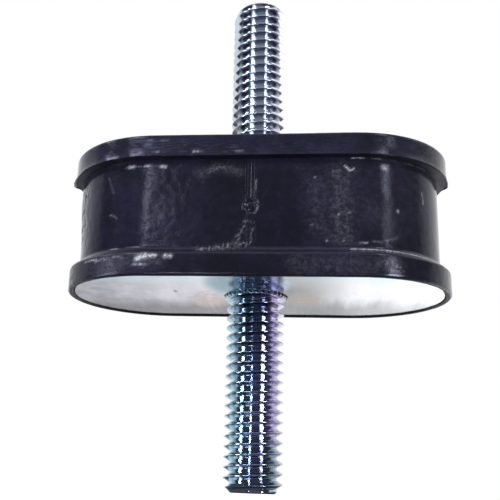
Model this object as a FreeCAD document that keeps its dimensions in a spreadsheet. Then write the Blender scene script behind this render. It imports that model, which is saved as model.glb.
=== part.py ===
import FreeCAD, Part
import math
import os
import Sketcher

# Stud-to-stud rubber isolator for an air cleaner. A rubber block with rounded ends is moulded
# round two steel plates, and a threaded stud stands out of the middle of each plate.
# Millimetres, +Z up. The origin is the centre of the lower plate's outer face.

SIZES = [
    ("overall_length", 63.5, "rubber, end to end at the flanges"),
    ("overall_width", 31.75, "rubber, side to side at the flanges"),
    ("overall_height", 23.0, "rubber, lower rim to upper rim"),
    ("waist_inset", 1.65, "step from the flange edge in to the waist"),
    ("flange_edge", 3.9, "height of the lower flange at its outer edge"),
    ("upper_flange", 3.6, "height of the upper flange, flat underneath"),
    ("shoulder_rise", 0.75, "how far the lower flange's upper side slopes up to the waist"),
    ("shoulder_round", 0.6, "rounding of the lower flange's upper corner"),
    ("waist_fillet", 1.0, "hollow corner between the lower shoulder and the waist"),
    ("rim_chamfer", 0.3, "bevel round the outer rims"),
    ("flash_reach", 0.45, "how far the moulding flash stands out"),
    ("flash_edge", 0.12, "thickness of the flash at its tip"),
    ("flash_rise", 1.5, "height over which the flash runs out"),
    ("rim_wall", 0.8, "rubber beside the plate's edge"),
    ("rim_lip", 0.25, "rubber standing proud of the plate's face"),
    ("seam_offset", 0.25, "mould seam's distance from the middle of each long side"),
    ("seam_width", 1.5, "width of that seam"),
    ("seam_height", 0.12, "how far the seam stands out"),
    ("gate_diameter", 2.3, "moulding gate mark on the front seam"),
    ("gate_groove", 0.4, "width of the groove round the gate mark"),
    ("gate_depth", 0.25, "depth of that groove"),
    ("gate_height", 11.4, "gate mark above the lower rim"),
    ("plate_thickness", 2.66, "12 gauge sheet"),
    ("plate_chamfer", 0.35, "bevel round the plate's outer face"),
    ("hole_clearance", 0.04, "radial gap between plate hole and stud neck"),
    ("hole_chamfer", 0.25, "break on the hole's outer edge"),
    ("stud_diameter", 9.525, "3/8 inch major diameter"),
    ("stud_length", 31.5, "stud standing out of the plate's face"),
    ("point_diameter", 7.2, "flat at the stud's end"),
    ("point_length", 1.15, "length of the end chamfer"),
    ("neck_diameter", 10.3, "over the teeth of the pressed neck"),
    ("tooth_count", 32, "teeth round the neck"),
    ("tooth_gap", 0.6, "width of the gap between teeth, at their tips"),
    ("head_diameter", 17.0, "flat head behind the plate"),
    ("head_thickness", 2.6, "thickness of that head"),
]

doc = FreeCAD.newDocument("air_cleaner_isolator")
sheet = doc.addObject("Spreadsheet::Sheet", "Sizes")
for row, (alias, value, note) in enumerate(SIZES, start=1):
    sheet.set("A%d" % row, note)
    sheet.set("B%d" % row, str(value))
    sheet.setAlias("B%d" % row, alias)
doc.recompute()


def size(alias):
    return float(sheet.get(alias))


def new_body(label):
    body = doc.addObject("PartDesign::Body", label)
    body.Label = label
    return body


def new_sketch(body, name, role, offset=None, aside=None):
    """A sketch on one of its body's own planes, moved along its normal or aside by an expression."""
    sketch = body.newObject("Sketcher::SketchObject", name)
    plane = [feature for feature in body.Origin.OriginFeatures if feature.Role == role][0]
    sketch.AttachmentSupport = [(plane, "")]
    sketch.MapMode = "FlatFace"
    if offset:
        sketch.setExpression("AttachmentOffset.Base.z", offset)
    if aside:
        sketch.setExpression("AttachmentOffset.Base.x", aside)
    return sketch


def bind(sketch, name, expression, *constraint):
    """Adds a dimension to the sketch and ties it to the sheet."""
    index = sketch.addConstraint(Sketcher.Constraint(*constraint))
    sketch.renameConstraint(index, name)
    sketch.setExpression("Constraints." + name, expression)


def place_point(sketch, name, edge, end, across, up, across_rule, up_rule):
    """Holds one end of an edge at a distance across and up from the sketch's origin."""
    bind(sketch, name + "_across", across_rule, "DistanceX", -1, 1, edge, end, across)
    bind(sketch, name + "_up", up_rule, "DistanceY", -1, 1, edge, end, up)


def draw_stadium(sketch, length, width, length_rule, width_rule):
    """An outline with straight sides and half-round ends, centred on the origin."""
    radius = width / 2
    middle = (length - width) / 2
    up = FreeCAD.Vector(0, 0, 1)
    right = sketch.addGeometry(Part.ArcOfCircle(
        Part.Circle(FreeCAD.Vector(middle, 0, 0), up, radius), -math.pi / 2, math.pi / 2))
    left = sketch.addGeometry(Part.ArcOfCircle(
        Part.Circle(FreeCAD.Vector(-middle, 0, 0), up, radius), math.pi / 2, 3 * math.pi / 2))
    back = sketch.addGeometry(Part.LineSegment(
        FreeCAD.Vector(middle, radius, 0), FreeCAD.Vector(-middle, radius, 0)))
    front = sketch.addGeometry(Part.LineSegment(
        FreeCAD.Vector(-middle, -radius, 0), FreeCAD.Vector(middle, -radius, 0)))
    for constraint in (("Tangent", right, 2, back, 1), ("Tangent", back, 2, left, 1),
                       ("Tangent", left, 2, front, 1), ("Tangent", front, 2, right, 1),
                       ("Symmetric", left, 3, right, 3, -1, 1), ("Horizontal", front)):
        sketch.addConstraint(Sketcher.Constraint(*constraint))
    bind(sketch, "end_radius", "(%s) / 2" % width_rule, "Radius", right, radius)
    bind(sketch, "end_centre", "(%s - (%s)) / 2" % (length_rule, width_rule),
         "DistanceX", -1, 1, right, 3, middle)


def draw_path(sketch):
    """The flange outline as a path that starts and ends at the middle of the right end."""
    radius = size("overall_width") / 2
    middle = (size("overall_length") - size("overall_width")) / 2
    up = FreeCAD.Vector(0, 0, 1)
    right_circle = Part.Circle(FreeCAD.Vector(middle, 0, 0), up, radius)
    left_circle = Part.Circle(FreeCAD.Vector(-middle, 0, 0), up, radius)
    first = sketch.addGeometry(Part.ArcOfCircle(right_circle, 0, math.pi / 2))
    back = sketch.addGeometry(Part.LineSegment(
        FreeCAD.Vector(middle, radius, 0), FreeCAD.Vector(-middle, radius, 0)))
    left = sketch.addGeometry(Part.ArcOfCircle(left_circle, math.pi / 2, 3 * math.pi / 2))
    front = sketch.addGeometry(Part.LineSegment(
        FreeCAD.Vector(-middle, -radius, 0), FreeCAD.Vector(middle, -radius, 0)))
    last = sketch.addGeometry(Part.ArcOfCircle(right_circle, 3 * math.pi / 2, 2 * math.pi))
    for constraint in (("Tangent", first, 2, back, 1), ("Tangent", back, 2, left, 1),
                       ("Tangent", left, 2, front, 1), ("Tangent", front, 2, last, 1),
                       ("Coincident", last, 2, first, 1), ("Coincident", last, 3, first, 3),
                       ("PointOnObject", first, 1, -1), ("Symmetric", left, 3, first, 3, -1, 1)):
        sketch.addConstraint(Sketcher.Constraint(*constraint))
    bind(sketch, "end_radius", "Sizes.overall_width / 2", "Radius", first, radius)
    bind(sketch, "end_centre", "(Sizes.overall_length - Sizes.overall_width) / 2",
         "DistanceX", -1, 1, first, 3, middle)


def draw_wall(sketch):
    """Section of the moulded wall at the right end, from the lower rim round to the upper one."""
    edge = size("overall_length") / 2
    height = size("overall_height")
    inner = edge - 2 * size("waist_inset")
    waist = edge - size("waist_inset")
    rim = size("rim_chamfer")
    corner = size("shoulder_round")
    hollow = size("waist_fillet")
    rise = size("shoulder_rise")
    slope = math.atan2(rise, size("waist_inset"))
    flange = size("flange_edge")
    tip = edge + size("flash_reach")
    under = height - size("upper_flange")

    def point(across, above):
        return FreeCAD.Vector(across, above, 0)

    def line(start, end):
        return sketch.addGeometry(Part.LineSegment(start, end))

    def arc(centre, radius, start, end):
        circle = Part.Circle(centre, FreeCAD.Vector(0, 0, 1), radius)
        return sketch.addGeometry(Part.ArcOfCircle(circle, start, end))

    # where the sloping shoulder leaves the corner round and meets the hollow corner
    leave = point(edge - corner + corner * math.sin(slope), flange - corner + corner * math.cos(slope))
    meet_across = waist + hollow * (1 - math.sin(slope))
    meet = point(meet_across, leave.y + (leave.x - meet_across) * math.tan(slope))
    hollow_up = meet.y + hollow * math.cos(slope)
    upper_meet = point(waist, under)

    floor = line(point(inner, 0), point(edge - rim, 0))
    lower_rim = line(point(edge - rim, 0), point(edge, rim))
    lower_side = line(point(edge, rim), point(edge, flange - corner))
    shoulder_corner = arc(point(edge - corner, flange - corner), corner, 0, math.pi / 2 - slope)
    shoulder = line(leave, meet)
    waist_corner = arc(point(waist + hollow, hollow_up), hollow, math.pi, 3 * math.pi / 2 - slope)
    waist_side = line(point(waist, hollow_up), upper_meet)
    underside = line(upper_meet, point(tip, under))
    flash_tip = line(point(tip, under), point(tip, under + size("flash_edge")))
    flash_top = line(point(tip, under + size("flash_edge")), point(edge, under + size("flash_rise")))
    upper_side = line(point(edge, under + size("flash_rise")), point(edge, height - rim))
    upper_rim = line(point(edge, height - rim), point(edge - rim, height))
    roof = line(point(edge - rim, height), point(inner, height))
    back = line(point(inner, height), point(inner, 0))
    lower_guide = line(point(edge, flange), point(waist, flange + rise))
    sketch.toggleConstruction(lower_guide)

    for constraint in (
            ("Coincident", floor, 2, lower_rim, 1), ("Coincident", lower_rim, 2, lower_side, 1),
            ("Tangent", lower_side, 2, shoulder_corner, 1),
            ("Tangent", shoulder_corner, 2, shoulder, 1), ("Tangent", shoulder, 2, waist_corner, 2),
            ("Tangent", waist_corner, 1, waist_side, 1), ("Coincident", waist_side, 2, underside, 1),
            ("Coincident", underside, 2, flash_tip, 1), ("Coincident", flash_tip, 2, flash_top, 1),
            ("Coincident", flash_top, 2, upper_side, 1), ("Coincident", upper_side, 2, upper_rim, 1),
            ("Coincident", upper_rim, 2, roof, 1), ("Coincident", roof, 2, back, 1),
            ("Coincident", back, 2, floor, 1), ("Horizontal", floor), ("Vertical", lower_side),
            ("Vertical", waist_side), ("Horizontal", underside), ("Vertical", flash_tip),
            ("Vertical", upper_side), ("Horizontal", roof), ("Vertical", back),
            ("Parallel", shoulder, lower_guide), ("PointOnObject", floor, 1, -1)):
        sketch.addConstraint(Sketcher.Constraint(*constraint))

    underside_rule = "Sizes.overall_height - Sizes.upper_flange"
    bind(sketch, "rim_foot", "Sizes.rim_chamfer", "DistanceY", -1, 1, lower_rim, 2, rim)
    bind(sketch, "rim_inside", "Sizes.overall_length / 2 - Sizes.rim_chamfer",
         "DistanceX", -1, 1, lower_rim, 1, edge - rim)
    bind(sketch, "upper_rim_foot", "Sizes.overall_height - Sizes.rim_chamfer",
         "DistanceY", -1, 1, upper_rim, 1, height - rim)
    bind(sketch, "upper_rim_inside", "Sizes.overall_length / 2 - Sizes.rim_chamfer",
         "DistanceX", -1, 1, upper_rim, 2, edge - rim)
    bind(sketch, "corner_radius", "Sizes.shoulder_round", "Radius", shoulder_corner, corner)
    bind(sketch, "hollow_radius", "Sizes.waist_fillet", "Radius", waist_corner, hollow)
    bind(sketch, "inner_side", "Sizes.overall_length / 2 - 2 * Sizes.waist_inset",
         "DistanceX", -1, 1, floor, 1, inner)
    bind(sketch, "outer_side", "Sizes.overall_length / 2", "DistanceX", -1, 1, lower_side, 1, edge)
    bind(sketch, "waist_place", "Sizes.overall_length / 2 - Sizes.waist_inset",
         "DistanceX", -1, 1, waist_side, 1, waist)
    bind(sketch, "corner_start", "Sizes.flange_edge - Sizes.shoulder_round",
         "DistanceY", -1, 1, lower_side, 2, flange - corner)
    place_point(sketch, "flash_foot", underside, 2, tip, under,
                "Sizes.overall_length / 2 + Sizes.flash_reach", underside_rule)
    bind(sketch, "flash_thick", "Sizes.flash_edge", "DistanceY", flash_tip, 1, flash_tip, 2,
         size("flash_edge"))
    bind(sketch, "upper_edge", "Sizes.overall_length / 2", "DistanceX", -1, 1, upper_side, 1, edge)
    bind(sketch, "flash_end", underside_rule + " + Sizes.flash_rise", "DistanceY", -1, 1,
         upper_side, 1, under + size("flash_rise"))
    bind(sketch, "roof_up", "Sizes.overall_height", "DistanceY", -1, 1, roof, 2, height)
    place_point(sketch, "lower_guide_edge", lower_guide, 1, edge, flange,
                "Sizes.overall_length / 2", "Sizes.flange_edge")
    place_point(sketch, "lower_guide_waist", lower_guide, 2, waist, flange + rise,
                "Sizes.overall_length / 2 - Sizes.waist_inset",
                "Sizes.flange_edge + Sizes.shoulder_rise")


def draw_box(sketch, half_width, low, high, half_rule, low_rule, high_rule):
    """A rectangle evenly either side of the sketch's vertical axis."""
    corners = [FreeCAD.Vector(x, y, 0) for x, y in (
        (-half_width, low), (half_width, low), (half_width, high), (-half_width, high))]
    bottom, right, top, left = [sketch.addGeometry(Part.LineSegment(corners[i], corners[(i + 1) % 4]))
                                for i in range(4)]
    for constraint in (("Coincident", bottom, 2, right, 1), ("Coincident", right, 2, top, 1),
                       ("Coincident", top, 2, left, 1), ("Coincident", left, 2, bottom, 1),
                       ("Horizontal", bottom), ("Vertical", right), ("Vertical", left),
                       ("Symmetric", top, 2, top, 1, -2)):
        sketch.addConstraint(Sketcher.Constraint(*constraint))
    bind(sketch, "half_width", half_rule, "DistanceX", -1, 1, right, 1, half_width)
    bind(sketch, "low", low_rule, "DistanceY", -1, 1, right, 1, low)
    bind(sketch, "high", high_rule, "DistanceY", -1, 1, right, 2, high)


def draw_circle(sketch, name, radius, rule, up=0, up_rule=None):
    """A circle on the origin, or at a distance above it."""
    circle = sketch.addGeometry(Part.Circle(FreeCAD.Vector(0, up, 0), FreeCAD.Vector(0, 0, 1), radius))
    if up_rule is None:
        sketch.addConstraint(Sketcher.Constraint("Coincident", circle, 3, -1, 1))
    else:
        sketch.addConstraint(Sketcher.Constraint("PointOnObject", circle, 3, -2))
        bind(sketch, name + "_up", up_rule, "DistanceY", -1, 1, circle, 3, up)
    bind(sketch, name + "_radius", rule, "Radius", circle, radius)


def recess(body, name, sketch, depth_rule, upwards=False):
    """A pocket that has to take material away, or the build stops."""
    doc.recompute()
    before = body.Shape.Volume
    pocket = body.newObject("PartDesign::Pocket", name)
    pocket.Profile = sketch
    pocket.Reversed = upwards
    pocket.setExpression("Length", depth_rule)
    doc.recompute()
    if not pocket.Shape.Volume < before - 1e-6:
        raise RuntimeError(name + " cuts nothing")
    return pocket


def make_rubber():
    """One moulding: the wall section swept round a solid core, then hollowed for plates and heads."""
    body = new_body("rubber_body")
    plate_length = "Sizes.overall_length - 2 * Sizes.rim_wall"
    plate_width = "Sizes.overall_width - 2 * Sizes.rim_wall"
    plate_depth = "Sizes.rim_lip + Sizes.plate_thickness"

    # the core's side lies between the waist and the inner side of the swept wall
    core_plan = new_sketch(body, "core_plan", "XY_Plane")
    draw_stadium(core_plan, size("overall_length") - 3 * size("waist_inset"),
                 size("overall_width") - 3 * size("waist_inset"),
                 "Sizes.overall_length - 3 * Sizes.waist_inset",
                 "Sizes.overall_width - 3 * Sizes.waist_inset")
    core = body.newObject("PartDesign::Pad", "core")
    core.Profile = core_plan
    core.setExpression("Length", "Sizes.overall_height")

    path = new_sketch(body, "outline_path", "XY_Plane")
    draw_path(path)
    section = new_sketch(body, "wall_section", "XZ_Plane")
    draw_wall(section)
    doc.recompute()
    wall = body.newObject("PartDesign::AdditivePipe", "wall")
    wall.Profile = section
    wall.Spine = (path, ["Edge%d" % (i + 1) for i in range(5)])

    # the split cores of the mould leave a seam down the middle of both long sides
    seam_plan = new_sketch(body, "seam_plan", "XZ_Plane", aside="-Sizes.seam_offset")
    draw_box(seam_plan, size("seam_width") / 2, size("flange_edge"),
             size("overall_height") - size("upper_flange"), "Sizes.seam_width / 2",
             "Sizes.flange_edge", "Sizes.overall_height - Sizes.upper_flange")
    seam = body.newObject("PartDesign::Pad", "seam")
    seam.Profile = seam_plan
    seam.Midplane = True
    seam.setExpression("Length", "Sizes.overall_width - 2 * Sizes.waist_inset + 2 * Sizes.seam_height")

    gate_plan = new_sketch(body, "gate_plan", "XZ_Plane",
                           "Sizes.overall_width / 2 - Sizes.waist_inset + Sizes.seam_height",
                           "-Sizes.seam_offset")
    gate_radius = size("gate_diameter") / 2
    draw_circle(gate_plan, "outer", gate_radius, "Sizes.gate_diameter / 2",
                up=size("gate_height"), up_rule="Sizes.gate_height")
    draw_circle(gate_plan, "inner", gate_radius - size("gate_groove"),
                "Sizes.gate_diameter / 2 - Sizes.gate_groove",
                up=size("gate_height"), up_rule="Sizes.gate_height")
    recess(body, "gate_mark", gate_plan, "Sizes.gate_depth + Sizes.seam_height")

    for side, upwards, offset in (("lower", True, None), ("upper", False, "Sizes.overall_height")):
        seat_plan = new_sketch(body, side + "_seat_plan", "XY_Plane", offset)
        draw_stadium(seat_plan, size("overall_length") - 2 * size("rim_wall"),
                     size("overall_width") - 2 * size("rim_wall"), plate_length, plate_width)
        recess(body, side + "_plate_seat", seat_plan, plate_depth, upwards)
        head_plan = new_sketch(body, side + "_head_plan", "XY_Plane", offset)
        draw_circle(head_plan, "head", size("head_diameter") / 2, "Sizes.head_diameter / 2")
        recess(body, side + "_head_seat", head_plan, plate_depth + " + Sizes.head_thickness", upwards)
    body.setExpression("Placement.Base.z", "-Sizes.rim_lip")
    return body


def circles_at(shape, level, radius):
    """Names of the round edges of one radius at one height."""
    names = []
    for number, edge in enumerate(shape.Edges, start=1):
        curve = edge.Curve
        if isinstance(curve, Part.Circle) and abs(curve.Radius - radius) < 1e-4:
            if abs(curve.Center.z - level) < 1e-4:
                names.append("Edge%d" % number)
    if not names:
        raise RuntimeError("no round edge at %.3f" % level)
    return names


def make_plate(label, upwards):
    """A blanked steel plate: round-ended like the rubber, with the hole that the stud is pressed into."""
    body = new_body(label)
    plan = new_sketch(body, label + "_plan", "XY_Plane")
    draw_stadium(plan, size("overall_length") - 2 * size("rim_wall"),
                 size("overall_width") - 2 * size("rim_wall"),
                 "Sizes.overall_length - 2 * Sizes.rim_wall",
                 "Sizes.overall_width - 2 * Sizes.rim_wall")
    hole_radius = size("neck_diameter") / 2 + size("hole_clearance")
    draw_circle(plan, "hole", hole_radius, "Sizes.neck_diameter / 2 + Sizes.hole_clearance")
    blank = body.newObject("PartDesign::Pad", label + "_blank")
    blank.Profile = plan
    blank.setExpression("Length", "Sizes.plate_thickness")
    doc.recompute()

    top = size("plate_thickness")
    outline = ["Edge%d" % number for number, edge in enumerate(blank.Shape.Edges, start=1)
               if abs(edge.BoundBox.ZMin - top) < 1e-4 and abs(edge.BoundBox.ZMax - top) < 1e-4
               and max(abs(edge.BoundBox.YMin), abs(edge.BoundBox.YMax)) > hole_radius * 1.01]
    bevelled = body.newObject("PartDesign::Chamfer", label + "_outer_edge")
    bevelled.Base = (blank, outline)
    bevelled.setExpression("Size", "Sizes.plate_chamfer")
    doc.recompute()
    eased = body.newObject("PartDesign::Chamfer", label + "_hole_edge")
    eased.Base = (bevelled, circles_at(bevelled.Shape, top, hole_radius))
    eased.setExpression("Size", "Sizes.hole_chamfer")
    set_outwards(body, upwards, "Sizes.plate_thickness")
    return body


def set_outwards(body, upwards, inner_depth):
    """Sets a piece with its outer end or face outwards, its own zero that deep below the plate's face."""
    if upwards:
        body.setExpression("Placement.Base.z",
                           "Sizes.overall_height - 2 * Sizes.rim_lip - (%s)" % inner_depth)
    else:
        body.Placement = FreeCAD.Placement(FreeCAD.Vector(), FreeCAD.Rotation(FreeCAD.Vector(1, 0, 0), 180))
        body.setExpression("Placement.Base.z", inner_depth)


def draw_stud(sketch):
    """Half section of the stud about its axis, from the inner face of its head to its point."""
    shaft = size("stud_diameter") / 2
    neck = size("neck_diameter") / 2
    head = size("head_diameter") / 2
    head_top = size("head_thickness")
    neck_top = head_top + size("plate_thickness")
    end = neck_top + size("stud_length")
    neck_rule = "Sizes.head_thickness + Sizes.plate_thickness"
    end_rule = neck_rule + " + Sizes.stud_length"
    corners = [
        ("head_top", head, head_top, "Sizes.head_diameter / 2", "Sizes.head_thickness"),
        ("neck_foot", neck, head_top, "Sizes.neck_diameter / 2", "Sizes.head_thickness"),
        ("neck_top", neck, neck_top, "Sizes.neck_diameter / 2", neck_rule),
        ("shaft_foot", shaft, neck_top, "Sizes.stud_diameter / 2", neck_rule),
        ("shaft_end", shaft, end - size("point_length"), "Sizes.stud_diameter / 2",
         end_rule + " - Sizes.point_length"),
        ("point", size("point_diameter") / 2, end, "Sizes.point_diameter / 2", end_rule),
    ]
    start = FreeCAD.Vector(head, 0, 0)
    under = sketch.addGeometry(Part.LineSegment(FreeCAD.Vector(0, 0, 0), start))
    edges = []
    for name, across, up, across_rule, up_rule in corners:
        stop = FreeCAD.Vector(across, up, 0)
        edge = sketch.addGeometry(Part.LineSegment(start, stop))
        place_point(sketch, name, edge, 2, across, up, across_rule, up_rule)
        edges.append(edge)
        start = stop
    tip = sketch.addGeometry(Part.LineSegment(start, FreeCAD.Vector(0, end, 0)))
    axis = sketch.addGeometry(Part.LineSegment(FreeCAD.Vector(0, end, 0), FreeCAD.Vector(0, 0, 0)))
    for first, second in zip(edges, edges[1:] + [tip]):
        sketch.addConstraint(Sketcher.Constraint("Coincident", first, 2, second, 1))
    for constraint in (("Coincident", under, 2, edges[0], 1), ("Horizontal", under), ("Horizontal", tip),
                       ("Coincident", tip, 2, axis, 1), ("PointOnObject", tip, 2, -2),
                       ("Coincident", axis, 2, under, 1), ("Coincident", under, 1, -1, 1)):
        sketch.addConstraint(Sketcher.Constraint(*constraint))


def draw_tooth_gap(sketch):
    """One V-shaped gap in the neck, down to the shaft, wide enough outside to cut clear."""
    shaft = size("stud_diameter") / 2
    clear = size("neck_diameter") - shaft
    gap = size("tooth_gap")
    corners = [FreeCAD.Vector(shaft, 0, 0), FreeCAD.Vector(clear, -gap, 0), FreeCAD.Vector(clear, gap, 0)]
    sides = [sketch.addGeometry(Part.LineSegment(corners[i], corners[(i + 1) % 3])) for i in range(3)]
    for i in range(3):
        sketch.addConstraint(Sketcher.Constraint("Coincident", sides[i], 2, sides[(i + 1) % 3], 1))
    sketch.addConstraint(Sketcher.Constraint("PointOnObject", sides[0], 1, -1))
    sketch.addConstraint(Sketcher.Constraint("Symmetric", sides[1], 1, sides[1], 2, -1))
    bind(sketch, "root", "Sizes.stud_diameter / 2", "DistanceX", -1, 1, sides[0], 1, shaft)
    bind(sketch, "mouth", "Sizes.neck_diameter - Sizes.stud_diameter / 2",
         "DistanceX", -1, 1, sides[1], 2, clear)
    bind(sketch, "half_mouth", "Sizes.tooth_gap", "DistanceY", -1, 1, sides[1], 2, gap)


def make_stud(label, upwards):
    """A headed stud: flat head behind the plate, toothed neck in its hole, plain blank of the thread."""
    body = new_body(label)
    profile = new_sketch(body, label + "_profile", "XZ_Plane")
    draw_stud(profile)
    turned = body.newObject("PartDesign::Revolution", label + "_turned")
    turned.Profile = profile
    turned.ReferenceAxis = (profile, ["V_Axis"])
    turned.Angle = 360
    doc.recompute()

    gap_plan = new_sketch(body, label + "_gap_plan", "XY_Plane",
                          "Sizes.head_thickness + Sizes.plate_thickness")
    draw_tooth_gap(gap_plan)
    gap = recess(body, label + "_tooth_gap", gap_plan, "Sizes.plate_thickness")
    ring = body.newObject("PartDesign::PolarPattern", label + "_teeth")
    ring.Originals = [gap]
    ring.Axis = (profile, ["V_Axis"])
    ring.Angle = 360
    ring.setExpression("Occurrences", "Sizes.tooth_count")
    body.Tip = ring
    set_outwards(body, upwards, "Sizes.head_thickness + Sizes.plate_thickness")
    return body


def check_document():
    """Stops the build if any object of the document failed or a sketch is not fully held."""
    for item in doc.Objects:
        if "Invalid" in item.State or "Error" in item.State:
            raise RuntimeError("%s failed: %s" % (item.Name, item.State))
        if item.TypeId == "Sketcher::SketchObject" and item.solve() != 0:
            raise RuntimeError("%s is not solved" % item.Name)


def export(bodies):
    os.makedirs("parts", exist_ok=True)
    for body in bodies:
        shape = body.Shape
        if shape.isNull() or not shape.isValid() or len(shape.Solids) != 1:
            raise RuntimeError(body.Label + " is not one sound solid")
        shape.exportStep("parts/%s.step" % body.Label)
        box = shape.BoundBox
        print("%-12s %9.1f mm3   z %.2f to %.2f" % (body.Label, shape.Volume, box.ZMin, box.ZMax))


pieces = [
    make_rubber(),
    make_plate("lower_plate", upwards=False),
    make_plate("upper_plate", upwards=True),
    make_stud("lower_stud", upwards=False),
    make_stud("upper_stud", upwards=True),
]
doc.recompute()
check_document()
export(pieces)
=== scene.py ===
import math

import bmesh
import bpy
import numpy as np
from mathutils import Matrix, Quaternion, Vector, noise


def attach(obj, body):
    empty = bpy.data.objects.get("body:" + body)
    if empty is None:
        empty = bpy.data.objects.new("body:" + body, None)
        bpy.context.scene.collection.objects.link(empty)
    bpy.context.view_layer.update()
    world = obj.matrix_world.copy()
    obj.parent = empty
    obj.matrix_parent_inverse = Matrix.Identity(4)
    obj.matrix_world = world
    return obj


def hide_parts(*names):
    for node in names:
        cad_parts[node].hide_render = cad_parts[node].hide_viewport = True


# Looks of the air cleaner isolator. Lengths below are millimetres in the row's frame:
# origin on the lower plate's outer face, +Z up, the long side along X, the front towards -Y.

MM = 0.001

# rubber moulding
END_RADIUS = 15.875
HALF_STRAIGHT = 15.875
WAIST_INSET = 1.65
LOWER_RIM = -0.25
GATE_ACROSS = -0.29
GATE_UP = 11.15
UPPER_RIM = 22.75
PLATE_INSET = 0.8
PLATE_THICKNESS = 2.66
HEAD_RADIUS = 8.5
HEAD_THICKNESS = 2.6
UPPER_FACE = 22.5
RIM_ROUND = 0.34
SHOULDER_UP = 3.05
SHOULDER_ROUND = 0.6
SHOULDER_RISE = 0.75
WAIST_FILLET = 1.0
UNDERSIDE = 19.15
FLASH_END = 20.5
FLASH_LIMIT = 0.44
LEFT_TIP = -37.6
RIGHT_TIP = 39.4
PERIMETER = 4 * HALF_STRAIGHT + 2 * math.pi * END_RADIUS

# studs
PITCH = 1.5875
CREST_RADIUS = 4.7625
THREAD_DEPTH = 0.96
CREST_ROUND = 0.14
FLANK_ANGLE = math.radians(30)
STUD_LENGTH = 31.5
POINT_RADIUS = 3.6
POINT_LENGTH = 1.15
NECK_RADIUS = 5.15
TEETH = 32
TOOTH_DEPTH = 0.34
LOWER_CREST = -1.86
UPPER_CREST = 52.19

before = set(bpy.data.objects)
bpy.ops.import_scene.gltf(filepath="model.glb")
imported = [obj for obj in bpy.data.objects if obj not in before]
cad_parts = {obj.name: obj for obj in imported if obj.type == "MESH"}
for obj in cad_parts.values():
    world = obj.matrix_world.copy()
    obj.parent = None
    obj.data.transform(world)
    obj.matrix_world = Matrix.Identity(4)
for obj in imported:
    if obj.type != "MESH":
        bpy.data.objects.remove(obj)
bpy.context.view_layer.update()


# Mesh helpers


def mesh_object(name, vertices, faces, smooth_angle=None):
    """A mesh object from points in millimetres."""
    mesh = bpy.data.meshes.new(name)
    mesh.from_pydata([tuple(MM * c for c in v) for v in vertices], [], faces)
    mesh.validate()
    mesh.update()
    for polygon in mesh.polygons:
        polygon.use_smooth = True
    if smooth_angle is not None:
        mesh.set_sharp_from_angle(angle=math.radians(smooth_angle))
    piece = bpy.data.objects.new(name, mesh)
    bpy.context.collection.objects.link(piece)
    return piece


def ring_faces(rings, around, first=0, shift=0):
    """Quads between neighbouring rings of points; shift joins the last column to later rings."""
    faces = []
    for ring in range(rings - 1):
        for k in range(around):
            step = 0
            nxt = k + 1
            if nxt == around:
                nxt = 0
                step = shift
            if ring + 1 + step >= rings:
                continue
            a = first + ring * around + k
            b = first + (ring + step) * around + nxt
            c = first + (ring + 1 + step) * around + nxt
            d = first + (ring + 1) * around + k
            faces.append((a, b, c, d))
    return faces


def rough(x, y, z, scale, octaves=3):
    """Fractal noise, about -1 to 1, of a point in millimetres."""
    return noise.fractal(Vector((x / scale, y / scale, z / scale)), 0.8, 2.0, octaves)


def smoothstep(low, high, value):
    t = np.clip((value - low) / (high - low), 0.0, 1.0)
    return t * t * (3 - 2 * t)


# Rubber moulding


def outline_samples():
    """Distances round the outline from the middle of the front, closer together at the seams."""
    marks = []
    place = -PERIMETER / 2
    while place < PERIMETER / 2 - 0.05:
        marks.append(place)
        to_seam = min(abs(place + 0.3), abs(abs(place) - PERIMETER / 2))
        place += 0.12 if to_seam < 1.7 else 0.26
    return np.array(marks)


def outline_point(s, inset):
    """Point and outward direction at distance s from the middle of the front, positive to the right."""
    side = np.where(s < 0, -1.0, 1.0)
    run = np.abs(s)
    radius = END_RADIUS - inset
    turn = np.clip((run - HALF_STRAIGHT) / END_RADIUS, 0.0, math.pi)
    back = run > HALF_STRAIGHT + math.pi * END_RADIUS
    beyond = run - HALF_STRAIGHT - math.pi * END_RADIUS
    x = np.where(run <= HALF_STRAIGHT, run, HALF_STRAIGHT + radius * np.sin(turn))
    x = np.where(back, HALF_STRAIGHT - beyond, x)
    nx = np.where(run <= HALF_STRAIGHT, 0.0, np.sin(turn))
    nx = np.where(back, 0.0, nx)
    ny = np.where(run <= HALF_STRAIGHT, -1.0, -np.cos(turn))
    ny = np.where(back, 1.0, ny)
    y = radius * ny
    return side * x, y, side * nx, ny


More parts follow.
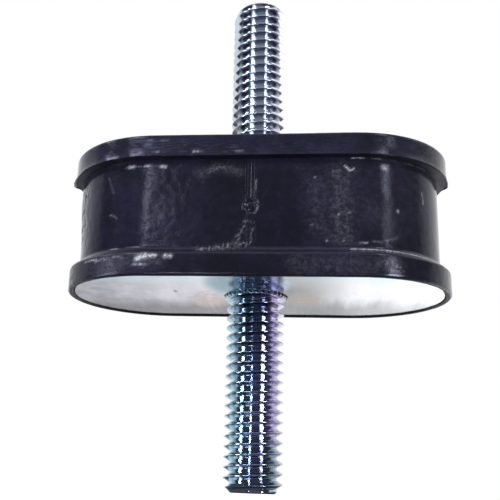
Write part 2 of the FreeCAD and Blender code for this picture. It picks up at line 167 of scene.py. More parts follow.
def wall_section():
    """Points (zone, inset, height) from the lower seat round the outside to the upper seat."""
    slope = math.atan2(SHOULDER_RISE, WAIST_INSET)
    points = [("seat", PLATE_INSET, PLATE_THICKNESS), ("seat", PLATE_INSET, 0.4)]
    points += [("lip", 0.95, -0.015), ("lip", 0.91, -0.05), ("lip", 0.83, -0.14), ("lip", 0.72, -0.22)]
    points += [("rim", 0.6, LOWER_RIM), ("rim", 0.47, LOWER_RIM), ("rim", RIM_ROUND, LOWER_RIM)]
    edge = LOWER_RIM + RIM_ROUND
    for k in range(1, 6):
        a = math.radians(-90 + 18 * k)
        points.append(("lower", RIM_ROUND - RIM_ROUND * math.cos(a), edge + RIM_ROUND * math.sin(a)))
    for k in range(1, 12):
        points.append(("lower", 0.0, edge + k * (SHOULDER_UP - LOWER_RIM - RIM_ROUND) / 11))
    for k in range(1, 6):
        a = (math.pi / 2 - slope) * k / 5
        inset = SHOULDER_ROUND - SHOULDER_ROUND * math.cos(a)
        points.append(("shoulder", inset, SHOULDER_UP + SHOULDER_ROUND * math.sin(a)))
    _, start, start_up = points[-1]
    meet = WAIST_INSET - WAIST_FILLET + WAIST_FILLET * math.sin(slope)
    meet_up = start_up + (meet - start) * math.tan(slope)
    for k in range(1, 5):
        t = k / 4
        points.append(("shoulder", start + t * (meet - start), start_up + t * (meet_up - start_up)))
    hollow_up = meet_up + WAIST_FILLET * math.cos(slope)
    for k in range(1, 7):
        a = 1.5 * math.pi - slope - (math.pi / 2 - slope) * k / 6
        inset = WAIST_INSET - WAIST_FILLET - WAIST_FILLET * math.cos(a)
        points.append(("hollow", inset, hollow_up + WAIST_FILLET * math.sin(a)))
    top = UNDERSIDE - 0.02
    rings = 54
    for k in range(1, rings + 1):
        points.append(("waist", WAIST_INSET, hollow_up + (top - hollow_up) * k / rings))
    for k in range(6):
        points.append(("under", WAIST_INSET * (1 - k / 5), UNDERSIDE))
    points += [("flash", -0.2, UNDERSIDE - 0.02), ("flash", -0.41, UNDERSIDE - 0.04)]
    points += [("flash", -FLASH_LIMIT, UNDERSIDE - 0.01), ("flash", -0.37, UNDERSIDE + 0.09)]
    points += [("flash", -0.2, UNDERSIDE + 0.3), ("flash", -0.1, UNDERSIDE + 0.6)]
    points += [("flash", -0.03, UNDERSIDE + 1.0), ("upper", 0.0, UNDERSIDE + 1.35)]
    edge = UPPER_RIM - RIM_ROUND
    for k in range(1, 9):
        points.append(("upper", 0.0, FLASH_END + k * (edge - FLASH_END) / 8))
    for k in range(1, 6):
        a = math.radians(18 * k)
        points.append(("upper", RIM_ROUND - RIM_ROUND * math.cos(a), edge + RIM_ROUND * math.sin(a)))
    points += [("rim", 0.5, UPPER_RIM), ("rim", 0.66, UPPER_RIM)]
    face = UPPER_FACE
    points += [("lip", 0.8, face + 0.22), ("lip", 0.95, face + 0.14), ("lip", 1.1, face + 0.05)]
    points += [("lip", 1.17, face + 0.015), ("seat", PLATE_INSET, face - 0.4)]
    points += [("seat", PLATE_INSET, face - PLATE_THICKNESS)]
    return points


class Moulding:
    """The wall as a grid of points, with the layers that its material reads."""

    def __init__(self):
        section = wall_section()
        self.s = outline_samples()
        self.zone = np.array([p[0] for p in section])
        self.inset = np.array([p[1] for p in section])
        self.up = np.array([p[2] for p in section])
        self.rings = len(section)
        self.around = len(self.s)
        self.push = np.zeros((self.rings, self.around))
        names = ("residue_and_glints", "scuff_and_sheen", "streaks", "dust", "matte")
        self.layers = {name: np.zeros((self.rings, self.around)) for name in names}

    def grid(self):
        """Distance round, height, and the unmoved points of the grid."""
        s = np.tile(self.s, (self.rings, 1))
        up = np.tile(self.up[:, None], (1, self.around))
        inset = np.tile(self.inset[:, None], (1, self.around))
        x, y, nx, ny = outline_point(s, inset)
        return s, up, x, y, nx, ny

    def stroke(self, layer, zones, points, width, strength, broken=0.0, seed=0.0, grain=0.45):
        """Draws a soft line along points (distance round, height) into a layer of some zones."""
        rows = np.isin(self.zone, zones)
        s, up, _, _, _, _ = self.grid()
        near = np.full(s.shape, 1e9)
        if len(points) == 1:
            near = np.hypot(s - points[0][0], up - points[0][1])
        for (s0, z0), (s1, z1) in zip(points, points[1:]):
            ds, dz = s1 - s0, z1 - z0
            t = np.clip(((s - s0) * ds + (up - z0) * dz) / (ds * ds + dz * dz), 0, 1)
            near = np.minimum(near, np.hypot(s - s0 - t * ds, up - z0 - t * dz))
        value = np.exp(-(near / width) ** 2)
        value[~rows] = 0.0
        chosen = value > 0.02
        if broken:
            for i, j in np.argwhere(chosen):
                n = noise.noise(Vector((s[i, j] / grain + seed, up[i, j] / 0.45, seed)))
                value[i, j] *= min(1.0, max(0.0, 1.0 - broken + 2.2 * broken * n))
        self.layers[layer] = np.maximum(self.layers[layer], strength * value)


def shape_moulding(wall):
    """Seams, gate mark, uneven flash and the slight unevenness of moulded rubber."""
    s, up, x, y, _, _ = wall.grid()
    half = PERIMETER / 2
    waist = np.isin(wall.zone, ("waist", "hollow"))[:, None]

    # the mould's split shows as a low band between two lines, front and back
    for centre in (-0.25, half):
        across = s - centre
        if centre == half:
            across = np.where(s < 0, s + half, s - half)
        fade = 0.45 + 0.55 * smoothstep(9.0, 13.5, up)
        wall.push += np.where(waist, 0.07 * smoothstep(0.8, 0.62, np.abs(across)), 0.0)
        wall.push -= np.where(waist, 0.12 * fade * np.exp(-((across + 0.8) / 0.12) ** 2), 0.0)
        wall.push += np.where(waist, 0.04 * fade * np.exp(-((across - 0.1) / 0.1) ** 2), 0.0)
        wall.push += np.where(waist, 0.05 * fade * np.exp(-((across - 0.66) / 0.1) ** 2), 0.0)

    # moulding gate: a ring pressed in round a low button
    away = np.hypot(s - GATE_ACROSS, up - GATE_UP)
    inside = smoothstep(1.3, 1.1, away) * waist
    wall.push *= 1 - inside
    wall.push += np.where(waist, -0.16 * np.exp(-((away - 0.82) / 0.17) ** 2), 0.0)
    wall.push += np.where(waist, 0.08 * np.exp(-((away - 1.12) / 0.14) ** 2), 0.0)

    # the left end's wall swells a little towards the upper flange
    swell = 0.5 * np.exp(-((s + 39.5) / 5.5) ** 2)
    swell = swell * smoothstep(6.0, 15.0, up) * smoothstep(19.1, 18.6, up)
    wall.push += np.where(waist, swell, 0.0)

    # torn patch low on the left end, where the moulding came off badly
    torn = np.exp(-((s + 35.2) / 3.2) ** 2) * smoothstep(5.5, 8.0, up) * smoothstep(17.9, 16.6, up)
    for i in range(wall.rings):
        zone = wall.zone[i]
        for j in range(wall.around):
            p = (x[i, j], y[i, j], up[i, j])
            if zone == "seat":
                continue
            wall.push[i, j] += 0.03 * rough(*p, 7.0, 2)
            if zone in ("waist", "hollow", "shoulder", "lower", "upper", "under"):
                wall.push[i, j] += 0.012 * rough(*p, 1.1, 2)
            if torn[i, j] > 0.03:
                pit = rough(p[0] * 1.6 + p[2] * 0.8, p[1] * 1.6, p[2] * 0.8, 1.3, 3)
                wall.push[i, j] -= torn[i, j] * 0.3 * max(0.0, pit)
                wall.layers["scuff_and_sheen"][i, j] = max(wall.layers["scuff_and_sheen"][i, j],
                                                 torn[i, j] * min(1.0, max(0.0, 1.3 * pit)))


def cut_back(s):
    """How far the edge of the upper flange's underside is worn back, 0 to 1, just behind either end."""
    left = smoothstep(38.0, 40.5, -s) * smoothstep(54.0, 47.0, -s)
    right = smoothstep(39.8, 42.3, s) * smoothstep(56.0, 49.0, s)
    return np.maximum(left, right)


def flash_reach(s):
    """How far the flash stands out round the edge, 0 to 1: ragged, and longest near the left end."""
    ragged = 0.5 + 0.5 * noise.fractal(Vector((s / 1.6, 3.1, 0.4)), 0.7, 2.0, 3)
    left = math.exp(-((s - LEFT_TIP) / 2.6) ** 2)
    right = 0.2 * math.exp(-((s - RIGHT_TIP) / 2.6) ** 2)
    return min(1.0, max(0.0, 0.05 + 0.3 * ragged + (0.6 + 0.5 * ragged) * max(left, right)))


def mark_moulding(wall):
    """Residue, scuffs and scratches, each drawn where the rubber carries it, and painted glints,
    highlights and sheen drawn into the residue and scuff layers.
    """
    stroke = wall.stroke
    waist = ("waist",)
    hollow = ("hollow", "shoulder", "waist")
    low = ("lower", "shoulder", "hollow")
    flange = ("lower", "shoulder")
    # scratches along the front of the upper flange
    stroke("streaks", ("upper", "flash"), [(-19.0, 20.9), (-9.0, 20.7), (-1.5, 20.4)], 1.3, 1.0)
    stroke("streaks", ("upper", "flash"), [(-25.0, 20.6), (-19.0, 20.6)], 1.2, 0.45)
    stroke("streaks", ("upper", "flash"), [(-1.0, 20.6), (14.0, 20.5)], 1.0, 0.45)
    # painted glints: the pale line and short dashes along the flange's lower edge
    stroke("residue_and_glints", ("upper", "flash"), [(-18.5, 19.9), (-10.6, 19.85), (-1.2, 19.8)], 0.09, 0.28,
           broken=0.8, seed=1, grain=1.5)
    stroke("residue_and_glints", ("upper",), [(-18.2, 21.8), (-12.5, 21.75)], 0.12, 0.3,
           broken=0.8, seed=2, grain=1.2)
    stroke("residue_and_glints", ("upper", "flash"), [(-9.4, 19.75), (-8.4, 19.75)], 0.10, 0.4)
    stroke("residue_and_glints", ("upper", "flash"), [(-16.0, 19.9), (-14.9, 19.8)], 0.10, 0.4)
    # painted glints under the upper flange
    stroke("residue_and_glints", waist, [(-20.6, 18.1), (-19.4, 18.1)], 0.2, 1.0)
    stroke("residue_and_glints", waist, [(-17.4, 18.1), (-16.6, 18.05)], 0.14, 0.8)
    stroke("residue_and_glints", waist, [(-14.6, 17.95), (-13.9, 17.9)], 0.2, 1.0)
    stroke("residue_and_glints", waist, [(-21.4, 18.1), (-12.4, 17.95)], 0.07, 0.3, broken=0.5, seed=5, grain=0.9)
    # pale deposit left of the seam
    arc = [(-8.2, 16.7), (-6.9, 17.2), (-6.0, 17.7), (-4.0, 17.6), (-2.1, 16.9)]
    stroke("residue_and_glints", waist, arc, 0.75, 0.09, broken=0.35, seed=6, grain=0.6)
    stroke("residue_and_glints", waist, arc[1:4], 0.40, 0.22, broken=0.7, seed=7, grain=0.35)
    rubbed = [(-8.4, 4.2), (-6.2, 4.3), (-4.2, 4.7), (-2.2, 5.1), (-0.5, 5.5)]
    stroke("residue_and_glints", hollow, rubbed, 0.42, 0.32, broken=0.8, seed=8, grain=0.35)
    stroke("residue_and_glints", waist, [(-2.6, 5.2), (-1.6, 7.2), (-1.0, 8.6)], 0.45, 0.22, broken=0.8, seed=9)
    stroke("residue_and_glints", waist, [(0.1, 5.0), (0.1, 8.6)], 0.3, 0.22, broken=0.8, seed=10)
    # lines of the mould's split
    stroke("residue_and_glints", waist, [(-0.15, 12.6), (-0.15, 16.0)], 0.09, 0.08, broken=0.5, seed=11)
    stroke("residue_and_glints", waist, [(0.46, 12.4), (0.5, 14.2)], 0.1, 0.12, broken=0.4, seed=12)
    stroke("residue_and_glints", waist, [(0.5, 14.0), (0.52, 15.6)], 0.12, 0.3, broken=0.3, seed=12)
    # painted highlight: the pale arc on the right of the gate ring
    stroke("residue_and_glints", waist, [(0.72, 12.3), (0.9, 11.4), (0.76, 10.6), (0.35, 10.1)], 0.12, 0.26,
           broken=0.35, seed=13)
    # short marks on the left
    stroke("residue_and_glints", waist, [(-24.9, 16.9), (-24.2, 15.6), (-23.5, 14.1)], 0.14, 0.14,
           broken=0.3, seed=14)
    stroke("residue_and_glints", waist, [(-24.0, 10.4), (-23.1, 10.2), (-22.4, 9.7)], 0.12, 0.28,
           broken=0.3, seed=15)
    # painted glints on the lower flange's shoulder where the left end begins, and a painted highlight
    # line with a bright dot along the hollow further left
    stroke("residue_and_glints", low, [(-17.3, 2.35), (-16.7, 2.65), (-16.1, 2.8)], 0.4, 1.0)
    stroke("residue_and_glints", low, [(-16.1, 2.75), (-14.6, 2.85)], 0.26, 1.0)
    stroke("residue_and_glints", low, [(-13.0, 2.76)], 0.3, 1.0)
    stroke("residue_and_glints", low, [(-12.25, 2.76)], 0.28, 1.0)
    stroke("residue_and_glints", low, [(-27.5, 2.85), (-24.0, 2.62), (-19.8, 2.68)], 0.15, 0.8,
           broken=0.7, seed=17)
    stroke("residue_and_glints", low, [(-24.85, 2.6)], 0.24, 0.8)
    # pale smudges and a scuff lower on the flange
    stroke("residue_and_glints", flange, [(-18.0, 1.5), (-16.0, 1.4)], 0.16, 0.6, broken=0.4, seed=18)
    stroke("scuff_and_sheen", flange, [(-19.0, 2.2), (-14.0, 2.0)], 1.0, 0.5, broken=0.5, seed=19)
    # right end
    # painted highlight lines along the lower hollow and in the corner under the upper flange
    stroke("residue_and_glints", hollow, [(14.9, 4.35), (18.0, 4.3), (21.1, 4.25), (29.6, 4.1)], 0.085, 0.9,
           broken=0.25, seed=20)
    stroke("residue_and_glints", waist, [(15.2, 19.1), (22.8, 19.02), (28.4, 19.04), (34.0, 19.0)], 0.08, 0.8,
           broken=0.55, seed=21, grain=1.4)
    # pale strokes low on the right end
    stroke("residue_and_glints", waist, [(16.1, 5.25), (17.6, 5.4)], 0.12, 0.35)
    stroke("residue_and_glints", waist, [(18.3, 5.7), (19.6, 5.6), (21.0, 5.9), (22.9, 6.6)], 0.12, 0.22,
           broken=0.3, seed=22)
    # painted highlight high on the right end, with painted sheen fading down below it
    stroke("residue_and_glints", waist, [(20.6, 17.75), (21.2, 17.6)], 0.35, 0.85, broken=0.3, seed=23)
    stroke("scuff_and_sheen", waist, [(20.9, 17.0), (20.8, 14.0)], 0.6, 0.5, broken=0.4, seed=24)
    # pale marks and specks
    stroke("residue_and_glints", waist, [(23.15, 10.8)], 0.22, 0.6)
    stroke("residue_and_glints", waist, [(29.05, 14.9), (29.25, 13.1)], 0.14, 0.35, broken=0.3, seed=25)
    stroke("residue_and_glints", ("lower",), [(20.0, 2.2), (21.2, 1.7), (22.2, 1.2)], 0.6, 0.24,
           broken=0.8, seed=26)
    stroke("residue_and_glints", waist, [(14.2, 17.75), (14.7, 17.3), (14.95, 16.95), (15.55, 17.25)], 0.11, 0.95)
    stroke("residue_and_glints", waist, [(12.4, 16.9), (13.4, 16.9)], 0.15, 0.2)
    for place in ((9.6, 15.9), (9.1, 8.2), (11.35, 5.7), (13.8, 5.7), (13.2, 9.9), (14.8, 10.2)):
        stroke("residue_and_glints", waist, [place], 0.13, 0.6)
    # dull rims and underside, and a dull patch at the left end of the lower flange
    wall.layers["matte"][np.isin(wall.zone, ("rim", "lip", "under"))] = 1.0
    stroke("matte", flange, [(-32.0, 1.4), (-20.0, 1.4)], 2.6, 0.8, broken=0.3, seed=28, grain=1.5)
    # fine dust right of the middle, under the upper flange and on the lower one
    stroke("dust", waist, [(9.8, 14.5), (10.6, 8.0)], 2.0, 0.5)
    stroke("dust", waist, [(13.4, 16.0), (13.6, 6.0)], 1.9, 0.9)
    stroke("dust", ("lower",), [(7.0, 1.6), (20.0, 1.4)], 1.8, 0.55)
    stroke("dust", waist, [(13.4, 17.4), (15.2, 17.0)], 1.1, 0.6)
    stroke("dust", waist, [(7.0, 17.6), (15.0, 17.4)], 0.6, 0.3)
    stroke("dust", waist, [(16.0, 12.0), (22.0, 8.0)], 2.2, 0.25)


def build_rubber():
    wall = Moulding()
    shape_moulding(wall)
    mark_moulding(wall)
    _, up, x, y, nx, ny = wall.grid()

    # the section's own outward direction at each ring, for pushing points in and out
    run = np.gradient(-wall.inset)
    rise = np.gradient(wall.up)
    length = np.hypot(run, rise)
    out, along_up = rise / length, -run / length
    push = wall.push
    flash = wall.zone == "flash"
    reach = np.array([flash_reach(v) for v in wall.s])
    px = x + nx * push * out[:, None]
    py = y + ny * push * out[:, None]
    pz = up + push * along_up[:, None]
    worn = cut_back(wall.s)
    tips = np.exp(-((wall.s - LEFT_TIP) / 1.8) ** 2) + np.exp(-((wall.s - RIGHT_TIP) / 1.8) ** 2)
    for i in np.flatnonzero(flash):
        inset = wall.inset[i] * reach * (1 - worn) + worn * 0.5 * smoothstep(19.9, 19.2, wall.up[i])
        fx, fy, _, _ = outline_point(wall.s, inset)
        px[i], py[i] = fx + nx[i] * push[i] * 0.3, fy + ny[i] * push[i] * 0.3
        pz[i] -= 0.6 * np.abs(wall.inset[i]) * tips
    for i in np.flatnonzero(wall.zone == "under"):
        inset = np.maximum(wall.inset[i], 0.5 * worn + 0.1 * wall.inset[i])
        fx, fy, _, _ = outline_point(wall.s, inset)
        px[i], py[i] = fx + nx[i] * push[i] * 0.3, fy + ny[i] * push[i] * 0.3
    for i in np.flatnonzero(wall.zone == "lip"):
        wobble = np.array([0.07 * rough(a, b, wall.up[i], 1.6, 2) for a, b in zip(x[i], y[i])])
        px[i] -= nx[i] * wobble
        py[i] -= ny[i] * wobble
    limit_x = HALF_STRAIGHT + END_RADIUS + FLASH_LIMIT
    limit_y = END_RADIUS + FLASH_LIMIT
    px = np.clip(px, -limit_x, limit_x)
    py = np.clip(py, -limit_y, limit_y)

    # hidden seats of plate and head close the moulding
    angle = np.arctan2(y[0], x[0])
    seat_x, seat_y = HEAD_RADIUS * np.cos(angle), HEAD_RADIUS * np.sin(angle)
    rings = []
    for height in (PLATE_THICKNESS + HEAD_THICKNESS, PLATE_THICKNESS):
        rings.append((seat_x, seat_y, np.full(wall.around, height)))
    for i in range(wall.rings):
        rings.append((px[i], py[i], pz[i]))
    inner = UPPER_FACE - PLATE_THICKNESS
    for height in (inner, inner - HEAD_THICKNESS):
        rings.append((seat_x, seat_y, np.full(wall.around, height)))
    vertices = [(a, b, c) for ring in rings for a, b, c in zip(*ring)]
    faces = ring_faces(len(rings), wall.around)
    last = (len(rings) - 1) * wall.around
    faces.append(tuple(range(wall.around - 1, -1, -1)))
    faces.append(tuple(range(last, last + wall.around)))
    piece = mesh_object("rubber_moulding", vertices, faces, smooth_angle=42)
    for name, layer in wall.layers.items():
        values = np.zeros((len(rings), wall.around))
        values[2:-2] = np.clip(layer, 0, 1)
        attribute = piece.data.attributes.new(name, "FLOAT", "POINT")
        attribute.data.foreach_set("value", values.ravel().astype(np.float32))
    attribute = piece.data.attributes.new("round", "FLOAT", "POINT")
    attribute.data.foreach_set("value", np.tile(wall.s, len(rings)).astype(np.float32))
    return piece


def build_sliver():
    """Thin sliver of flash that stands on the left end, low on the waist."""
    vertices = []
    faces = []
    rows = 14
    for k in range(rows):
        t = k / (rows - 1)
        up = 3.6 + 3.7 * t
        reach = 0.62 * math.sin(math.pi * min(1.0, 0.25 + 0.75 * t)) ** 0.5
        reach *= 1 + 0.15 * rough(0, up, 3.0, 0.9, 2)
        foot = -(HALF_STRAIGHT + END_RADIUS - WAIST_INSET) + 0.2
        for across, half in ((foot, 0.16), (foot - 0.2 - reach, 0.05)):
            vertices += [(across, -0.25 - half, up), (across, -0.25 + half, up)]
    for k in range(rows - 1):
        a = 4 * k
        b = a + 4
        faces += [(a, b, b + 2, a + 2), (a + 3, b + 3, b + 1, a + 1), (a + 2, b + 2, b + 3, a + 3)]
    faces += [(0, 2, 3, 1), (4 * rows - 4, 4 * rows - 3, 4 * rows - 1, 4 * rows - 2)]
    return mesh_object("flash_sliver", vertices, faces, smooth_angle=40)


# Studs


def thread_profile():
    """Places in half a pitch and depths there: rounded crest, straight flank, flat root."""
    turns = [math.radians(20 * k) for k in range(4)]
    places = [CREST_ROUND * math.sin(a) / PITCH for a in turns]
    depths = [CREST_ROUND * (1 - math.cos(a)) for a in turns]
    start, foot = places[-1], depths[-1]
    for place in (0.09, 0.24, 0.375, 0.39):
        places.append(place)
        depths.append(foot + (place - start) * PITCH / math.tan(FLANK_ANGLE))
    return places + [0.41, 0.5], depths + [THREAD_DEPTH, THREAD_DEPTH]


def thread_mesh(crest, low, high, tip, shade_reach):
    """Points, faces and painted shade under the crests of a right-hand thread between two heights, with
    its point at tip.
    """
    around = 120
    places, depths = thread_profile()
    shade_places = (0.025, 0.05, shade_reach, shade_reach + 0.14)
    steps = places + [1 - u for u in reversed(places[1:-1])]
    first = math.floor((low - crest) / PITCH) - 2
    last = math.ceil((high - crest) / PITCH) + 2
    vertices = []
    crest_shade = []
    rows = 0
    for turn in range(first, last):
        for u in steps:
            for k in range(around):
                part = k / around
                angle = 2 * math.pi * part - math.pi / 2
                up = crest + PITCH * (turn + u + part)
                up = min(high, max(low, up))
                phase = (up - crest) / PITCH - part
                below = 0.5 - (phase + 0.5) % 1.0
                radius = CREST_RADIUS - float(np.interp(abs(below), places, depths))
                crest_shade.append(float(np.interp(below, shade_places, (0, 1, 1, 0))))
                radius += 0.006 * rough(6 * math.cos(angle), 6 * math.sin(angle), up * 1.5, 1.0, 2)
                from_tip = abs(tip - up)
                cone = POINT_RADIUS + (CREST_RADIUS - POINT_RADIUS) * from_tip / POINT_LENGTH
                radius = min(radius, cone, CREST_RADIUS)
                vertices.append((radius * math.cos(angle), radius * math.sin(angle), up))
            rows += 1
    faces = ring_faces(rows, around, shift=len(steps))
    return vertices, faces, crest_shade, around


def close_end(vertices, faces, around, height, radius, upwards):
    """Closes the thread's end with a flat face."""
    first = len(vertices)
    rings = (radius, radius * 0.93, radius * 0.6, radius * 0.2)
    for size in rings:
        for k in range(around):
            angle = 2 * math.pi * k / around - math.pi / 2
            vertices.append((size * math.cos(angle), size * math.sin(angle), height))
    flat = ring_faces(len(rings), around, first)
    cap = tuple(range(first + 3 * around, first + 4 * around))
    if upwards:
        faces += flat + [cap]
    else:
        faces += [tuple(reversed(face)) for face in flat + [cap]]


def neck_mesh(vertices, faces, face_up, out):
    """Flat head behind the plate and the toothed neck that is pressed into it."""
    around = TEETH * 8
    inner_face = -PLATE_THICKNESS
    head_top = -PLATE_THICKNESS - HEAD_THICKNESS
    profile = [(7.8, head_top, 0), (8.35, -5.05, 0), (HEAD_RADIUS, -4.6, 0), (HEAD_RADIUS, -2.8, 0),
               (8.36, inner_face, 0), (NECK_RADIUS, inner_face, 1), (NECK_RADIUS, 0.24, 1),
               (NECK_RADIUS - 0.09, 0.34, 1), (NECK_RADIUS - 0.5, 0.4, 0.3), (3.0, 0.4, 0)]
    first = len(vertices)
    for radius, depth, teeth in profile:
        for k in range(around):
            angle = 2 * math.pi * k / around - math.pi / 2
            notch = max(0.0, 1 - abs((k % 8) - 4) / 2.2)
            size = radius - teeth * TOOTH_DEPTH * notch
            vertices.append((size * math.cos(angle), size * math.sin(angle), face_up + out * depth))
    flat = ring_faces(len(profile), around, first)
    inner = tuple(range(first + around - 1, first - 1, -1))
    outer = tuple(range(first + (len(profile) - 1) * around, first + len(profile) * around))
    faces += [tuple(reversed(f)) for f in flat + [inner, outer]] if out < 0 else flat + [inner, outer]


def build_stud(name, crest, face_up, out, shade_reach):
    tip = face_up + out * STUD_LENGTH
    start = face_up - out * 0.5
    low, high = min(tip, start), max(tip, start)
    vertices, faces, crest_shade, around = thread_mesh(crest, low, high, tip, shade_reach)
    close_end(vertices, faces, around, tip, POINT_RADIUS, out > 0)
    neck_mesh(vertices, faces, face_up, out)
    piece = mesh_object(name, vertices, faces)
    crest_shade += [0.0] * (len(vertices) - len(crest_shade))
    attribute = piece.data.attributes.new("crest_shade", "FLOAT", "POINT")
    attribute.data.foreach_set("value", np.array(crest_shade, dtype=np.float32))
    tidy_mesh(piece, smooth_angle=28)
    return piece


def tidy_mesh(piece, smooth_angle):
    """Joins points that coincide and drops faces without area."""
    work = bmesh.new()
    work.from_mesh(piece.data)
    bmesh.ops.remove_doubles(work, verts=work.verts, dist=1e-7)
    bmesh.ops.dissolve_degenerate(work, edges=work.edges, dist=1e-7)
    bmesh.ops.recalc_face_normals(work, faces=work.faces)
    for face in work.faces:
        face.smooth = True
    work.to_mesh(piece.data)
    work.free()
    piece.data.set_sharp_from_angle(angle=math.radians(smooth_angle))


# Materials


# rubber colours, linear
BLOOM_LEFT = (0.0290, 0.0262, 0.0570)
BLOOM_RIGHT = (0.0300, 0.0290, 0.0450)
COMPOUND = (0.0130, 0.0132, 0.0185)
HAZE = (0.046, 0.045, 0.062)
DUST = (0.13, 0.13, 0.155)
SCRATCH = (0.20, 0.20, 0.28)
# scuff colour, also used for painted sheen; residue colour, also used for painted glints and highlights
SCUFF_AND_SHEEN = (0.17, 0.17, 0.19)
RESIDUE_AND_GLINT = (0.92, 0.92, 0.98)

# plate colours, linear
PLATE_SHADED_LEFT = (0.24, 0.26, 0.29)
PLATE_MIDDLE = (0.60, 0.58, 0.66)
PLATE_LIT_RIGHT = (0.88, 0.92, 0.90)
PINK_CLOUD = (0.78, 0.70, 0.76)
GREEN_BLOT = (0.66, 0.78, 0.76)
DARK_BAND = (0.34, 0.33, 0.40)
PALE_BAND = (0.86, 0.86, 0.92)
NEAR_EDGE = (0.60, 0.76, 0.80)
FAR_EDGE = (0.035, 0.03, 0.04)
RIGHT_DARKENING = (0.11, 0.12, 0.12)
TAN_LEFT = (0.38, 0.27, 0.21)
TAN_RIGHT = (0.28, 0.21, 0.14)
BLUE_STUD_REFLECTION = (0.36, 0.54, 0.72)
DARK_STUD_REFLECTION = (0.04, 0.16, 0.22)
STREAK = (0.44, 0.45, 0.50)
FINE_STREAK = (0.48, 0.50, 0.54)
SPECK = (0.38, 0.39, 0.41)
PIT = (0.05, 0.05, 0.06)

# stud colours, linear
STUD_BLUE = (0.56, 0.77, 0.87)
STUD_VIOLET = (0.70, 0.64, 0.88)
STUD_LOW_END = (0.40, 0.52, 0.57)
STUD_LOW_SIDE = (0.40, 0.38, 0.50)
STUD_BLOT = (0.72, 0.66, 0.70)
STUD_GRAIN = (0.42, 0.44, 0.5)
STUD_UPPER = (0.88, 0.93, 1.0)
# painted shade on the front of the lower stud
FRONT_SHADE = (0.20, 0.24, 0.30)
# painted shade under the thread crests
CREST_SHADE = (0.04, 0.05, 0.09)

# depth of the finest relief, metres
FINE_RELIEF = 0.00003


class Nodes:
    """Short calls for building a node tree."""

    def __init__(self, tree):
        self.tree = tree
        tree.nodes.clear()

    def add(self, kind, **settings):
        node = self.tree.nodes.new(kind)
        for key, value in settings.items():
            setattr(node, key, value)
        return node

    def plug(self, source, target):
        if isinstance(source, bpy.types.NodeSocket):
            self.tree.links.new(source, target)
        else:
            target.default_value = source

    def math(self, operation, *values, clamp=False):
        node = self.add("ShaderNodeMath", operation=operation, use_clamp=clamp)
        for value, socket in zip(values, node.inputs):
            self.plug(value, socket)
        return node.outputs[0]

    def times(self, first, second, clamp=False):
        return self.math("MULTIPLY", first, second, clamp=clamp)

    def plus(self, first, second, clamp=False):
        return self.math("ADD", first, second, clamp=clamp)

    def minus(self, first, second):
        return self.math("SUBTRACT", first, second)

    def mix(self, factor, first, second):
        """Blend of two colours, each a socket or three numbers."""
        node = self.add("ShaderNodeMix", data_type="RGBA")
        self.plug(factor, node.inputs["Factor"])
        for colour, place in ((first, 6), (second, 7)):
            is_socket = isinstance(colour, bpy.types.NodeSocket)
            self.plug(colour if is_socket else (*colour, 1.0), node.inputs[place])
        return node.outputs[2]

    def ramp(self, value, low, high, out_low=0.0, out_high=1.0):
        """Smooth step of a value between two limits."""
        node = self.add("ShaderNodeMapRange", interpolation_type="SMOOTHSTEP")
        for key, setting in (("Value", value), ("From Min", low), ("From Max", high),
                             ("To Min", out_low), ("To Max", out_high)):
            self.plug(setting, node.inputs[key])
        return node.outputs[0]

    def noise(self, vector, scale, detail=3.0, roughness=0.5, distortion=0.0):
        node = self.add("ShaderNodeTexNoise")
        self.plug(vector, node.inputs["Vector"])
        node.inputs["Scale"].default_value = scale
        node.inputs["Detail"].default_value = detail
        node.inputs["Roughness"].default_value = roughness
        node.inputs["Distortion"].default_value = distortion
        return node.outputs[0]

    def stretch(self, vector, scale):
        node = self.add("ShaderNodeVectorMath", operation="MULTIPLY")
        self.plug(vector, node.inputs[0])
        node.inputs[1].default_value = scale
        return node.outputs[0]

    def millimetres(self):
        """Place on the object in millimetres, and its three parts."""
        where = self.stretch(self.add("ShaderNodeTexCoord").outputs["Object"], (1000, 1000, 1000))
        parts = self.add("ShaderNodeSeparateXYZ")
        self.plug(where, parts.inputs[0])
        return where, parts.outputs

    def layer(self, name):
        return self.add("ShaderNodeAttribute", attribute_name=name).outputs["Fac"]

    def spot(self, parts, x, y, reach_x, reach_y):
        """1 at a place (x, y) on a flat face, fading out over an ellipse."""
        across = self.math("DIVIDE", self.minus(parts[0], x), reach_x)
        along = self.math("DIVIDE", self.minus(parts[1], y), reach_y)
        away = self.plus(self.times(across, across), self.times(along, along))
        return self.ramp(away, 1.0, 0.0)

    def bump(self, height, distance, strength=1.0, normal=None):
        node = self.add("ShaderNodeBump")
        node.inputs["Distance"].default_value = distance
        node.inputs["Strength"].default_value = strength
        self.plug(height, node.inputs["Height"])
        if normal is not None:
            self.plug(normal, node.inputs["Normal"])
        return node.outputs[0]

    def finish(self, **sockets):
        """A Principled shader with these sockets, joined to the output."""
        shader = self.add("ShaderNodeBsdfPrincipled")
        for key, value in sockets.items():
            self.plug(value, shader.inputs[key.replace("_", " ")])
        self.plug(shader.outputs[0], self.add("ShaderNodeOutputMaterial").inputs["Surface"])
        return shader


def new_material(name):
    material = bpy.data.materials.new(name)
    material.use_nodes = True
    return material, Nodes(material.node_tree)


